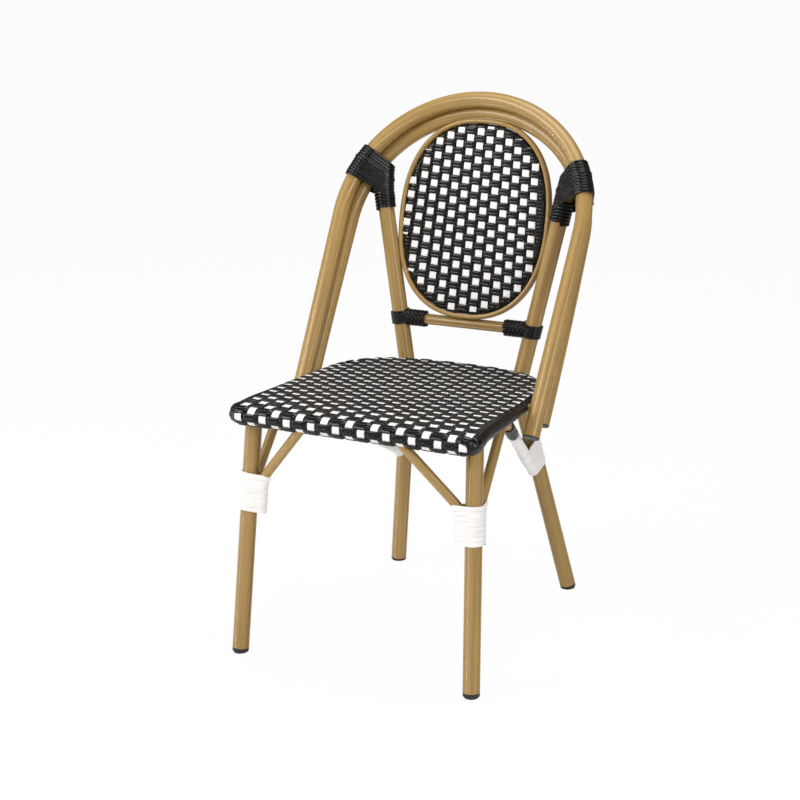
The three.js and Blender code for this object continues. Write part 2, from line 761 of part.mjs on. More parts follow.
// The plane square to a path at a height, on the path's right half
function squareAt(path, z) {
  const points = rightHalf(path);
  const i = points.findIndex((p, k) => k > 0 && (p.z - z) * (points[k - 1].z - z) <= 0);
  const [low, high] = [points[i - 1], points[i]].sort((a, b) => a.z - b.z);
  const base = low.clone().lerp(high, (z - low.z) / (high.z - low.z));
  return { base, normal: high.clone().sub(low).normalize() };
}

const tilted = ({ base }, x, y, z) => ({ base, normal: V(x, y, z).normalize() });
const limits = (path, { over, from, to }) => ({
  from: squareAt(path, over + from),
  to: squareAt(path, over + to),
});
const bigTube = (path) => ({ path, radius: R + fit });
const smallTube = (path) => ({ path, radius: braceR });

// What each strap binds, the planes where it starts and ends, its loops and the steps in a loop
function windings() {
  const { front_brace: front, side_brace: side, rear_brace: rear } = braces;
  const bindingPoint = innerLine[Math.round(innerLine.length * intoHoopShare)];
  const intoHoop = [...rearLine, uprightAt(uprightTop + R), bindingPoint];
  const upright = limits(rearLine, uprightWrap);
  const leg = limits(rearLine, rearLegWrap);
  return {
    hoop_wrap: {
      binds: [bigTube(outerLine), bigTube(innerLine), bigTube(intoHoop)],
      ...limits(outerLine, hoopWrap), loops: 7, steps: 16, strand: 'black_strand',
    },
    upright_wrap: {
      binds: [{ path: rearLine, radius: R }],
      from: upright.from, to: tilted(upright.to, -0.1, 0.25, 0.95),
      loops: 3, steps: 12, strand: 'black_strand',
    },
    front_leg_wrap: {
      binds: [bigTube(frontLegLine), smallTube(front), smallTube(side)],
      ...limits(frontLegLine, frontLegWrap), loops: 7, steps: 13, strand: 'white_strand',
    },
    rear_leg_wrap: {
      binds: [bigTube(rearLine), smallTube(longer(rear, seatR, 0))],
      from: tilted(leg.from, 0, -0.6, 0.8), to: tilted(leg.to, -0.04, 0.1, 1),
      loops: 5, steps: 16, strand: 'white_strand',
    },
    rear_brace_wrap: {
      binds: [smallTube(rear)],
      ...limits(rear, rearBraceWrap), loops: 4, steps: 10, strand: 'white_strand',
    },
    seat_brace_wrap: {
      binds: [smallTube(rear)],
      ...limits(rear, seatBraceWrap), loops: 2, steps: 10, strand: 'black_strand',
    },
  };
}

function addWindings() {
  for (const [name, strap] of Object.entries(windings())) {
    addPair(name, winding(name, strap), strap.strand);
  }
}

addHoops();
addLegs();
addBraces();
addStubs();
addSeatFrame();
addSeatWeave();
addBack();
addCaps();
addPlugs();
addRailWraps();
addWindings();

export default chair;
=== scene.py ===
# A stacking bistro chair: bamboo-printed aluminium tube, woven plastic strands and bound joints.
# Metres, Z up. X runs to the right as seen from the front, and the chair faces -Y.
from math import atan, cos, hypot, pi, radians, sin, sqrt

import bpy
import numpy as np
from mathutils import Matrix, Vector


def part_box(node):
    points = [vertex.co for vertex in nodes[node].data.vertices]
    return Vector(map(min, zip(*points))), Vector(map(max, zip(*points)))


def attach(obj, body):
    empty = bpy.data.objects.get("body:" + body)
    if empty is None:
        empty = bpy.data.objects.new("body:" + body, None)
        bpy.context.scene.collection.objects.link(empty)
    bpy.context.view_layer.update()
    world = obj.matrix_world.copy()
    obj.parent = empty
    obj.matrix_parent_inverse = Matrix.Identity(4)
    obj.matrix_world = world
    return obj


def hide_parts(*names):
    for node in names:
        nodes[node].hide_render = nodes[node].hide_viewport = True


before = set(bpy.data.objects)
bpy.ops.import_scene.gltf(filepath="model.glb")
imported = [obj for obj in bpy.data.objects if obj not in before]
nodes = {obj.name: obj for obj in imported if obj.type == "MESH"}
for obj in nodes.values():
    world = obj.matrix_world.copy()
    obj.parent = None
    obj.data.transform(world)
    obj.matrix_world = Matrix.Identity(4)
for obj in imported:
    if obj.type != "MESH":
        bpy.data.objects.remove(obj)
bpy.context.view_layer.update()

# Sizes of the frame, as in the CAD model
overall_height = 0.890
overall_depth = 0.555
tube_radius = 0.014
brace_radius = 0.008
rail_radius = 0.0095
seat_tube_radius = 0.010
ring_width = 0.008  # a flat oval tube that stands on edge
ring_depth = 0.015
stub_radius = 0.006
bar_radius = 0.006
touch = 0.00045  # between pieces that touch

hoop_half_width = 0.2255
hoop_end_half_width = 0.218
hoop_end_height = 0.373
hoop_arch_rise = 0.192
hoop_lean = 0.598
hoop_end_y = -0.041
inner_end_raise = 0.026
nest_top_angle = 55.0

rear_foot = np.array([0.1723, 0.2643, 0.0])
knee = np.array([0.1058, 0.1696, 0.392])
knee_bend = 0.060
upright_spread = 0.201
upright_lean = 0.0995
upright_top = 0.743
front_foot = np.array([0.2118, -0.2573, 0.0])
front_leg_slope = np.array([-0.0352, 0.0928, 1.0])

seat_height = 0.416
seat_slope = -0.02
seat_pad_radius = 0.014
seat_front_half = 0.210
seat_mid_half = 0.1887
seat_mid_y = 0.0045
seat_back_y = 0.1555
seat_corner_radius = 0.022
woven_corner_radius = 0.013
woven_front_half = 0.2075
seat_back_power = 2.75
seat_bar_ys = {"seat_front_bar": -0.150, "seat_back_bar": 0.035}

rail_height = 0.4942
ring_half_width = 0.1383
ring_power = 2.35
ring_bottom_back_share = -0.35
ring_top_back_share = -0.8

brace_end_height = 0.236
brace_bend_height = 0.300
brace_bend = 0.040
front_brace_top_x = 0.088
side_brace_top_y = -0.119
rear_brace_end_height = 0.222
rear_brace_bend_height = 0.246
rear_brace_top = (0.193, -0.090)

hoop_wrap_heights = (0.733, 0.784)
upright_wrap_heights = (0.680, 0.719)
front_leg_wrap_heights = (0.241, 0.313)
rear_leg_wrap_heights = (0.247, 0.300)
rear_brace_wrap_heights = (0.262, 0.367)
seat_brace_wrap_heights = (0.368, 0.397)
into_hoop_share = 0.312
into_hoop_bend = 0.15
front_strap_end = 0.245  # the braces end inside their straps
rear_strap_end = 0.249
past_upright = 4 * tube_radius  # how far the upright's line goes on for its binding

# Where the planes of a binding's turns tilt
hoop_top_tilt = 0.25  # share of the way to the hoop's own plane
upright_top_tilt = 0.75  # share of the way to the hoop binding's lower plane
rear_leg_low_normal = (0, -0.5, 0.85)
rear_leg_high_normal = (-0.04, 0.1, 1)

# Loops, thickness of the strap, overlap of its turns and steps in a loop
windings = {
    "hoop_wrap": (11, 0.0036, 1.1, 36),
    "upright_wrap": (7, 0.0036, 1.0, 36),
    "front_leg_wrap": (8, 0.0022, 1.0, 36),
    "rear_leg_wrap": (13, 0.0018, 1.0, 36),
    "rear_brace_wrap": (26, 0.0018, 1.0, 20),
    "seat_brace_wrap": (11, 0.0026, 1.0, 24),
}
spread_limits = (0.6, 1.5)  # of a strap's width over its middle width
strap_edge = 0.48  # rounding, as a share of the thickness
strap_corner_steps = 4
hull_nudge = 0.006  # a share of the way round, to find a hull's direction

rail_sleeve_length = 0.036
post_sleeve_length = 0.0275
post_loops = 5
sleeve_steps = 36
braid_strands = 8  # each way round
braid_width = 0.0052
braid_thickness = 0.0028
braid_rise = 0.0012

cap_height = 0.008

# How finely paths are drawn, and their sections
tube_step = 0.006
ring_step = 0.004
outline_step = 0.003
nearest_step = 0.002
white_step = 0.002
black_step = 0.0024
round_steps = 8  # in each corner of a round section
ring_edge = 0.999  # rounding, as a share of half the ring's width
across_tubes = (0.2, 0.9, 0.4)  # a direction that no tube takes
print_starts = (1.7, 3.1)  # the print starts elsewhere on each tube
right_half_from = 0.01
side_of_seat_ys = (-0.24, 0.12)

# Sizes of the weave
column_pitch = 0.0214  # between the white straps of the seat
row_pitch = 0.01185  # between its pairs of black strands
row_shift = 0.001
front_rows = -11  # from this row on, the rows are further apart towards the front
front_row_pitch = 0.0130
edge_rows = (-19, -21)  # the rows between which they spread over the front edge
edge_row_shift = 0.0095
woven_front_y = -0.260
front_dip = 0.006  # the seat drops this much more at its front edge
front_dip_ys = (-0.200, -0.260)
front_roll_share = 1.15  # its roll is fuller there
front_spread = 0.035  # and its columns are further apart
front_shift = 0.0035
white_width = 0.0127
white_thickness = 0.0012
black_thickness = 0.0025
white_rise = 0.0006
seat_columns = 9  # on each side of the middle one
seat_reach = 0.045  # how far the unrolled plane goes past the frame
last_column_end = 0.060
strand_share = 0.247  # of the row pitch, from a pair's middle to a strand's middle
weave_rise = 0.0015  # over and under the middle of the sheet
weave_steepness = 2.0
white_edge = 0.45  # rounding, as a share of the thickness
black_edge = 0.49
strand_fill = 2.1  # a black strand's width, over its distance from the pair's middle
start_step = 0.37  # along the pattern, from one strand to the next
fan_limit = 1.7  # strands get at most this much wider round corners
seat_rows = (-26, 18)
seat_wrap = radians(205)  # how far the strands go round the frame tube
seat_roll = 0.0122  # radius of the sheet's middle round the frame tube
back_column_pitch = 0.0197
back_column_shift = -0.0028
back_column_bow = 0.00014  # the columns to the sitter's left are closer together
back_draw = 0.43  # and all of them draw together towards the top, per metre
back_row_pitch = 0.01234
back_row_shift = -0.0086
back_row_tilt = -0.05
back_reach = 0.02
back_columns = 6  # on each side of the middle one
back_rows = (-14, 16)
back_wrap = radians(200)
back_border = 0.002  # the white straps end this far outside the inner ring's line
inner_ring_radius = 0.0042
inner_ring_reach = 0.0062  # with its binding, nearly to the outer ring
inner_ring_edge = 0.98
black_width = {"seat": strand_fill * strand_share * row_pitch,
               "back": strand_fill * strand_share * back_row_pitch}
back_roll = 0.0046
back_sheet_place = -0.0012  # the middle of the wrapped inner ring, ahead of the outer ring's

# The photograph's camera
camera_place = (1.3837, -2.90425, 1.2934)
camera_yaw = 26.116
camera_pitch = 15.539
sensor_width = 36.0
photo_width = 800
focal_pixels = 1974.96
clip_end = 100

# The stage. Each lamp has a place, a width and height, and a power.
floor_reach = 40
floor_seen_white = 0.965  # share of the floor that the camera sees as plain white
world_light = 0.16
lamp_aim = (0, 0, 0.45)
lamps = {
    "key": ((-1.9, -2.5, 2.4), (1.2, 1.5), 72),
    "fill": ((2.9, -1.4, 1.6), (1.2, 1.6), 42),
    "top": ((0.2, 0.4, 3.0), (1.8, 1.8), 52),
    "left_strip": ((-2.4, -0.6, 1.3), (0.07, 2.2), 20),
    "right_strip": ((0.6, -3.2, 1.5), (0.07, 2.2), 16),
}


# Small mathematics

def vec(x, y, z):
    return np.stack(np.broadcast_arrays(np.float64(x), np.float64(y), np.float64(z)), axis=-1)


def unit(v):
    return v / np.linalg.norm(v, axis=-1, keepdims=True)


def mix(a, b, share):
    return a + (b - a) * share


def ease(low, high, value):
    t = np.clip((value - low) / (high - low), 0, 1)
    return t * t * (3 - 2 * t)


def tangents(path, loop=False):
    if loop:
        return unit(np.roll(path, -1, axis=0) - np.roll(path, 1, axis=0))
    return unit(np.gradient(path, axis=0))


def mirrored(path):
    return path * [-1, 1, 1]


def even(path, step, loop=False):
    """The path again, with its points one step apart."""
    if loop:
        path = np.vstack([path, path[:1]])
    run = np.concatenate([[0], np.cumsum(np.linalg.norm(np.diff(path, axis=0), axis=1))])
    count = max(2, int(round(run[-1] / step)) + 1)
    spots = np.linspace(0, run[-1], count)
    made = np.stack([np.interp(spots, run, path[:, k]) for k in range(path.shape[1])], axis=1)
    return made[:-1] if loop else made


def bent(corners, radius, steps=12):
    """A path through corners, with each inner corner rounded."""
    points = [corners[0]]
    for before, corner, after in zip(corners, corners[1:], corners[2:]):
        back, on = unit(before - corner), unit(after - corner)
        half = np.arccos(np.clip(back @ on, -1, 1)) / 2
        middle = corner + unit(back + on) * radius / sin(half)
        start = corner + back * radius / np.tan(half) - middle
        side = unit(np.cross(np.cross(start, on), start)) * radius
        for angle in np.linspace(0, pi - 2 * half, steps):
            points.append(middle + start * cos(angle) + side * sin(angle))
    points.append(corners[-1])
    return np.array(points)


# Centre lines of the tubes, as in the CAD model. Those in pairs are for the right side.

hoop_plane_up = unit(vec(0, hoop_lean, 1))
hoop_plane_back = vec(0, hoop_plane_up[2], -hoop_plane_up[1])
crown_height = overall_height - tube_radius


def hoop_line(end_height):
    arch_start = crown_height - hoop_arch_rise
    z = np.linspace(end_height, arch_start, 60, endpoint=False)
    share = (z - hoop_end_height) / (arch_start - hoop_end_height)
    leg = vec(mix(hoop_end_half_width, hoop_half_width, share), 0, z)
    angle = np.linspace(0, pi, 181)
    arch = vec(hoop_half_width * np.cos(angle), 0, arch_start + hoop_arch_rise * np.sin(angle))
    path = np.vstack([leg, arch, mirrored(leg)[::-1]])
    path[:, 1] = hoop_end_y + hoop_lean * (path[:, 2] - hoop_end_height)
    return path


def nested_line(path):
    """The inner hoop lies behind the outer one at the arms and comes in under it towards the top."""
    inward = np.cross(tangents(path), hoop_plane_back)
    share = (path[:, 2] - hoop_end_height) / (crown_height - hoop_end_height)
    angle = mix(radians(nest_top_angle), pi / 2, np.cos((pi / 2) * share))[:, None]
    return path + (2 * tube_radius + touch) * (inward * np.cos(angle) + hoop_plane_back * np.sin(angle))


def upright_at(z):
    return knee + vec(upright_spread, upright_lean, 1) * (z - knee[2])


def front_leg_at(z):
    return front_foot + front_leg_slope * z


def rear_leg_at(z):
    return mix(rear_foot, knee, z / knee[2])


def seat_z(y):
    return seat_height + seat_slope * y


outer_line = hoop_line(hoop_end_height)
inner_line = nested_line(hoop_line(hoop_end_height + inner_end_raise))
rear_line = bent([rear_foot, knee, upright_at(upright_top)], knee_bend)
seat_front_y = seat_pad_radius - overall_depth / 2


def half_seat(y):
    """How far the seat tube's centre line is from the middle, away from the front corners."""
    ahead = (seat_mid_y - y) / (seat_mid_y - seat_front_y)
    behind = np.clip(y - seat_mid_y, 0, None) / (seat_back_y - seat_mid_y)
    oval = seat_mid_half * (1 - behind ** seat_back_power) ** (1 / seat_back_power)
    return np.where(y < seat_mid_y, mix(seat_mid_half, seat_front_half, ahead), oval)


side_ys = np.linspace(*side_of_seat_ys, 60)
side_of_seat = (side_ys, half_seat(side_ys))


def brace_lines():
    both = tube_radius + brace_radius + touch
    aside = vec(-both, 0, 0)
    behind = vec(0, both * hypot(1, front_leg_slope[1]), 0)
    before = vec(0, -both * hypot(1, (rear_foot[1] - knee[1]) / knee[2]), 0)
    share = (side_brace_top_y - seat_front_y) / (seat_mid_y - seat_front_y)
    side_x = mix(seat_front_half, seat_mid_half, share)
    tops = {
        "front_brace": vec(front_brace_top_x, woven_front_y,
                           seat_z(woven_front_y) - seat_tube_radius - front_dip),
        "side_brace": vec(side_x, side_brace_top_y, seat_z(side_brace_top_y) - seat_tube_radius),
    }
    lines = {}
    for name, apart in (("front_brace", aside), ("side_brace", behind)):
        low, corner = front_leg_at(brace_end_height) + apart, front_leg_at(brace_bend_height) + apart
        lines[name] = bent([low, corner, tops[name]], brace_bend)
    x, y = rear_brace_top
    low, corner = rear_leg_at(rear_brace_end_height) + before, rear_leg_at(rear_brace_bend_height) + before
    lines["rear_brace"] = bent([low, corner, vec(x, y, seat_z(y) - seat_tube_radius)], brace_bend / 2)
    return lines


braces = brace_lines()
front_leg_top = front_leg_at(seat_z(front_leg_at(seat_height)[1]) - seat_tube_radius)
rail_end = upright_at(rail_height)


def ring_frame():
    """The oval's middle, its upward and backward directions and its half height. The round back of its
    section touches the rail below and the inner hoop above."""
    end_radius = ring_width / 2
    low = rail_radius + end_radius + touch
    high = tube_radius + end_radius + 2 * touch
    crown = inner_line[len(inner_line) // 2]
    bottom = vec(0, rail_end[1] + low * ring_bottom_back_share,
                 rail_height + low * sqrt(1 - ring_bottom_back_share ** 2))
    top = vec(0, crown[1] + high * ring_top_back_share, crown[2] - high * sqrt(1 - ring_top_back_share ** 2))
    up = unit(top - bottom)
    back = vec(0, up[2], -up[1])
    middle = (top + bottom) / 2 - back * (ring_depth / 2 - end_radius)
    return middle, up, back, np.linalg.norm(top - bottom) / 2


ring_centre, ring_up, ring_back, ring_half_height = ring_frame()


def rounded_oval(half_width, half_height, power, count=720):
    angle = np.linspace(0, 2 * pi, count, endpoint=False)
    bow = lambda v: np.sign(v) * np.abs(v) ** (2 / power)
    return np.stack([half_width * bow(np.cos(angle)), half_height * bow(np.sin(angle))], axis=1)


def seat_outline(front_half, corner_radius):
    """The seat tube's centre line in the seat's plane, anticlockwise from above."""
    corner = np.linspace(0, pi / 2, 16)
    centre_x, centre_y = front_half - corner_radius, woven_front_y + corner_radius
    front = np.stack([centre_x + corner_radius * np.sin(corner),
                      centre_y - corner_radius * np.cos(corner)], axis=1)
    oval = rounded_oval(seat_mid_half, seat_back_y - seat_mid_y, seat_back_power) + [0, seat_mid_y]
    back = oval[(oval[:, 1] >= seat_mid_y) & (oval[:, 0] >= 0)]
    half = np.vstack([front, back[np.argsort(back[:, 1])]])
    return even(np.vstack([half, (half * [-1, 1])[::-1]]), outline_step, loop=True)


def in_seat(points, height=0.0):
    """Takes points of the seat's plane, and a height over it, to their place in the chair."""
    angle = atan(seat_slope)
    x, y = points[..., 0], points[..., 1]
    height = height - front_dip * ease(*front_dip_ys, y)
    return vec(x, y * cos(angle) - height * sin(angle), seat_height + y * sin(angle) + height * cos(angle))


def in_ring(points, height=0.0):
    """The same for the oval's plane, where the height is towards the sitter."""
    height = np.asarray(height)[..., None]
    return ring_centre + points[..., :1] * vec(1, 0, 0) + points[..., 1:2] * ring_up - height * ring_back


# Node trees and materials

def add(tree, kind, links=None, **settings):
    """Adds a node with its settings. A socket is linked to the output or set to the value it is given."""
    made = tree.nodes.new(kind)
    for name, value in settings.items():
        setattr(made, name, value)
    for name, value in (links or {}).items():
        if isinstance(value, bpy.types.NodeSocket):
            tree.links.new(value, made.inputs[name])
        else:
            made.inputs[name].default_value = value
    return made


def colour(code):
    """An sRGB hex value as a linear colour."""
    parts = [int(code[k:k + 2], 16) / 255 for k in (1, 3, 5)]
    return [p / 12.92 if p <= 0.04045 else ((p + 0.055) / 1.055) ** 2.4 for p in parts] + [1]


def surface(name):
    """A new material, its tree and its shader."""
    material = bpy.data.materials.new(name)
    material.use_nodes = True
    tree = material.node_tree
    return material, tree, tree.nodes["Principled BSDF"]


def ramp(tree, factor, stops):
    made = add(tree, "ShaderNodeValToRGB", {"Fac": factor})
    elements = made.color_ramp.elements
    while len(elements) < len(stops):
        elements.new(0.5)
    for element, (place, code) in zip(elements, stops):
        element.position = place
        element.color = colour(code)
    return made.outputs["Color"]


def lay_noise(tree, size, detail=2.0, roughness=0.5):
    """Noise in a strand's or tube's own straightened space, with spots of the given size in metres."""
    lay = add(tree, "ShaderNodeAttribute", attribute_name="lay")
    scaled = add(tree, "ShaderNodeVectorMath", {0: lay.outputs["Vector"], 1: [1 / s for s in size]},
                 operation="MULTIPLY")
    made = add(tree, "ShaderNodeTexNoise",
               {"Vector": scaled.outputs["Vector"], "Scale": 1.0, "Detail": detail, "Roughness": roughness})
    return made.outputs["Fac"]


def bamboo_print():
    """Aluminium tube, powder coated and heat-transfer printed like bamboo cane, under a satin lacquer.
    The print gives long faint streaks, and the lacquer thin soft highlights."""
    material, tree, shader = surface("bamboo_printed_aluminium")
    broad = lay_noise(tree, (0.006, 0.006, 0.25))
    # Real streaks are half a millimetre wide. They are drawn twice as wide, to show at this distance.
    streak = lay_noise(tree, (0.0008, 0.0008, 0.05), detail=3.0)
    fleck = lay_noise(tree, (0.0009, 0.0009, 0.012), detail=1.0)
    tone = add(tree, "ShaderNodeMix", {"Factor": 0.5, "A": broad, "B": streak}, data_type="FLOAT")
    base = ramp(tree, tone.outputs["Result"], [(0.36, "#907037"), (0.50, "#9e7d41"), (0.64, "#aa884b")])
    dark = add(tree, "ShaderNodeMapRange",
               {"Value": fleck, "From Min": 0.68, "From Max": 0.78, "To Max": 0.35})
    flecked = add(tree, "ShaderNodeMix",
                  {"Factor": dark.outputs["Result"], "A": base, "B": colour("#6f4f22")}, data_type="RGBA")
    tree.links.new(flecked.outputs["Result"], shader.inputs["Base Color"])
    gloss = add(tree, "ShaderNodeMapRange",
                {"Value": streak, "From Min": 0.3, "From Max": 0.7, "To Min": 0.44, "To Max": 0.56})
    tree.links.new(gloss.outputs["Result"], shader.inputs["Roughness"])
    bump = add(tree, "ShaderNodeBump", {"Height": streak, "Strength": 0.03, "Distance": 0.0002})
    tree.links.new(bump.outputs["Normal"], shader.inputs["Normal"])
    shader.inputs["Coat Weight"].default_value = 0.32
    shader.inputs["Coat Roughness"].default_value = 0.06
    return material


def strand_plastic(name, dark, light, rib_height, roughness, shine):
    """Extruded polyethylene strand, with fine ribs along it from the die and a soft waxy sheen."""
    material, tree, shader = surface(name)
    cloud = lay_noise(tree, (0.004, 0.004, 0.03))
    lay = add(tree, "ShaderNodeAttribute", attribute_name="lay")
    across = add(tree, "ShaderNodeSeparateXYZ", {"Vector": lay.outputs["Vector"]})
    # The die leaves a rib every 0.9 mm.
    turns = add(tree, "ShaderNodeMath", {0: across.outputs["Y"], 1: 2 * pi / 0.0009}, operation="MULTIPLY")
    rib = add(tree, "ShaderNodeMath", {0: turns.outputs[0]}, operation="COSINE")
    grit = lay_noise(tree, (0.0004, 0.0004, 0.0012), detail=1.0)
    height = add(tree, "ShaderNodeMath", {0: rib.outputs[0], 1: 0.35, 2: grit}, operation="MULTIPLY_ADD")
    base = ramp(tree, cloud, [(0.35, dark), (0.65, light)])
    tree.links.new(base, shader.inputs["Base Color"])
    worn = add(tree, "ShaderNodeMapRange", {"Value": cloud, "From Min": 0.3, "From Max": 0.7,
                                            "To Min": roughness - 0.06, "To Max": roughness + 0.06})
    tree.links.new(worn.outputs["Result"], shader.inputs["Roughness"])
    bump = add(tree, "ShaderNodeBump", {"Height": height.outputs[0], "Strength": 0.5, "Distance": rib_height})
    tree.links.new(bump.outputs["Normal"], shader.inputs["Normal"])
    shader.inputs["IOR"].default_value = 1.51
    shader.inputs["Specular IOR Level"].default_value = shine
    return material


def moulded_plastic():
    """Moulded black polyethylene of the caps and plugs, spark-eroded to a matt grain and scuffed."""
    material, tree, shader = surface("moulded_black_polyethylene")
    place = add(tree, "ShaderNodeTexCoord").outputs["Object"]
    grain = add(tree, "ShaderNodeTexNoise", {"Vector": place, "Scale": 1 / 0.0008, "Detail": 2.0})
    scuff = add(tree, "ShaderNodeTexNoise", {"Vector": place, "Scale": 1 / 0.006, "Detail": 4.0})
    base = ramp(tree, scuff.outputs["Fac"], [(0.4, "#191817"), (0.7, "#2b2a29")])
    tree.links.new(base, shader.inputs["Base Color"])
    bump = add(tree, "ShaderNodeBump", {"Height": grain.outputs["Fac"], "Strength": 0.3, "Distance": 0.0001})
    tree.links.new(bump.outputs["Normal"], shader.inputs["Normal"])
    shader.inputs["Roughness"].default_value = 0.48
    return material


finishes = {
    "bamboo_print": bamboo_print(),
    "black_strand": strand_plastic("black_extruded_polyethylene", "#0c0b0a", "#151312", 0.00006, 0.24, 0.28),
    "white_strand": strand_plastic("white_extruded_polyethylene", "#eae6e4", "#f4f1ef", 0.00005, 0.5, 0.5),
}
black_plastic = moulded_plastic()


# What follows a path: one tree sweeps a rounded section along every tube and strand.

def followed_path_tree():
    tree = bpy.data.node_groups.new("followed_path", "GeometryNodeTree")
    inputs = [("Path", "Geometry"), ("Width", "Float"), ("Thickness", "Float"), ("Rounding", "Float"),
              ("Corner Steps", "Int"), ("Rise", "Float"), ("Steepness", "Float"), ("Finish", "Material")]
    for label, kind in inputs:
        tree.interface.new_socket(label, in_out="INPUT", socket_type="NodeSocket" + kind)
    tree.interface.new_socket("Strands", in_out="OUTPUT", socket_type="NodeSocketGeometry")
    given = add(tree, "NodeGroupInput").outputs

    def attribute(name, kind):
        made = add(tree, "GeometryNodeInputNamedAttribute", {"Name": name}, data_type=kind)
        return made.outputs["Attribute"]

    # A strand goes over and under: its lift swings once for every two crossings.
    facing = attribute("facing", "FLOAT_VECTOR")
    turn = add(tree, "ShaderNodeMath", {0: attribute("crossing", "FLOAT"), 1: pi}, operation="MULTIPLY")
    swing = add(tree, "ShaderNodeMath", {0: turn.outputs[0]}, operation="COSINE")
    steep = add(tree, "ShaderNodeMath", {0: swing.outputs[0], 1: given["Steepness"]}, operation="MULTIPLY")
    held = add(tree, "ShaderNodeClamp", {"Value": steep.outputs[0], "Min": -1.0, "Max": 1.0})
    quarter = add(tree, "ShaderNodeMath", {0: held.outputs[0], 1: pi / 2}, operation="MULTIPLY")
    soft = add(tree, "ShaderNodeMath", {0: quarter.outputs[0]}, operation="SINE")
    lift = add(tree, "ShaderNodeMath", {0: soft.outputs[0], 1: given["Rise"]}, operation="MULTIPLY")
    offset = add(tree, "ShaderNodeVectorMath", {0: facing, "Scale": lift.outputs[0]}, operation="SCALE")
    lifted = add(tree, "GeometryNodeSetPosition",
                 {"Geometry": given["Path"], "Offset": offset.outputs["Vector"]})

    curve = add(tree, "GeometryNodeMeshToCurve", {"Mesh": lifted.outputs["Geometry"]})
    turned = add(tree, "GeometryNodeSetCurveNormal",
                 {"Curve": curve.outputs["Curve"], "Normal": facing}, mode="FREE")
    length = add(tree, "GeometryNodeSplineParameter").outputs["Length"]
    started = add(tree, "ShaderNodeMath", {0: length, 1: attribute("start", "FLOAT")}, operation="ADD")
    run = add(tree, "GeometryNodeStoreNamedAttribute",
              {"Geometry": turned.outputs["Curve"], "Name": "run", "Value": started.outputs[0]},
              data_type="FLOAT")

    section = add(tree, "GeometryNodeCurvePrimitiveQuadrilateral",
                  {"Width": given["Thickness"], "Height": given["Width"]}, mode="RECTANGLE")
    rounded = add(tree, "GeometryNodeFilletCurve",
                  {"Curve": section.outputs["Curve"], "Count": given["Corner Steps"],
                   "Radius": given["Rounding"], "Limit Radius": True}, mode="POLY")
    place = add(tree, "GeometryNodeInputPosition").outputs["Position"]
    marked = add(tree, "GeometryNodeStoreNamedAttribute",
                 {"Geometry": rounded.outputs["Curve"], "Name": "across", "Value": place},
                 data_type="FLOAT_VECTOR")
    swept = add(tree, "GeometryNodeCurveToMesh",
                {"Curve": run.outputs["Geometry"], "Profile Curve": marked.outputs["Geometry"],
                 "Scale": attribute("spread", "FLOAT"), "Fill Caps": True})

    # The attribute "lay" is a point's place in the straightened strand.
    across = add(tree, "ShaderNodeSeparateXYZ", {"Vector": attribute("across", "FLOAT_VECTOR")})
    lay = add(tree, "ShaderNodeCombineXYZ", {"X": across.outputs["X"], "Y": across.outputs["Y"],
                                             "Z": attribute("run", "FLOAT")})
    stored = add(tree, "GeometryNodeStoreNamedAttribute",
                 {"Geometry": swept.outputs["Mesh"], "Name": "lay", "Value": lay.outputs["Vector"]},
                 data_type="FLOAT_VECTOR")
    corners = add(tree, "GeometryNodeInputMeshFaceNeighbors").outputs["Vertex Count"]
    sides = add(tree, "FunctionNodeCompare", {2: corners, 3: 5}, data_type="INT", operation="LESS_THAN")
    smooth = add(tree, "GeometryNodeSetShadeSmooth",
                 {"Geometry": stored.outputs["Geometry"], "Selection": sides.outputs["Result"]})
    real = add(tree, "GeometryNodeRealizeInstances", {"Geometry": smooth.outputs["Geometry"]})
    finished = add(tree, "GeometryNodeSetMaterial",
                   {"Geometry": real.outputs["Geometry"], "Material": given["Finish"]})
    add(tree, "NodeGroupOutput", {"Strands": finished.outputs["Geometry"]})
    return tree


path_tree = followed_path_tree()


def piece(name, mesh, replaced):
    """A rigid piece of the chair, in the place of CAD nodes."""
    obj = bpy.data.objects.new(name, mesh)
    bpy.context.scene.collection.objects.link(obj)
    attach(obj, "root")
    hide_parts(*replaced)


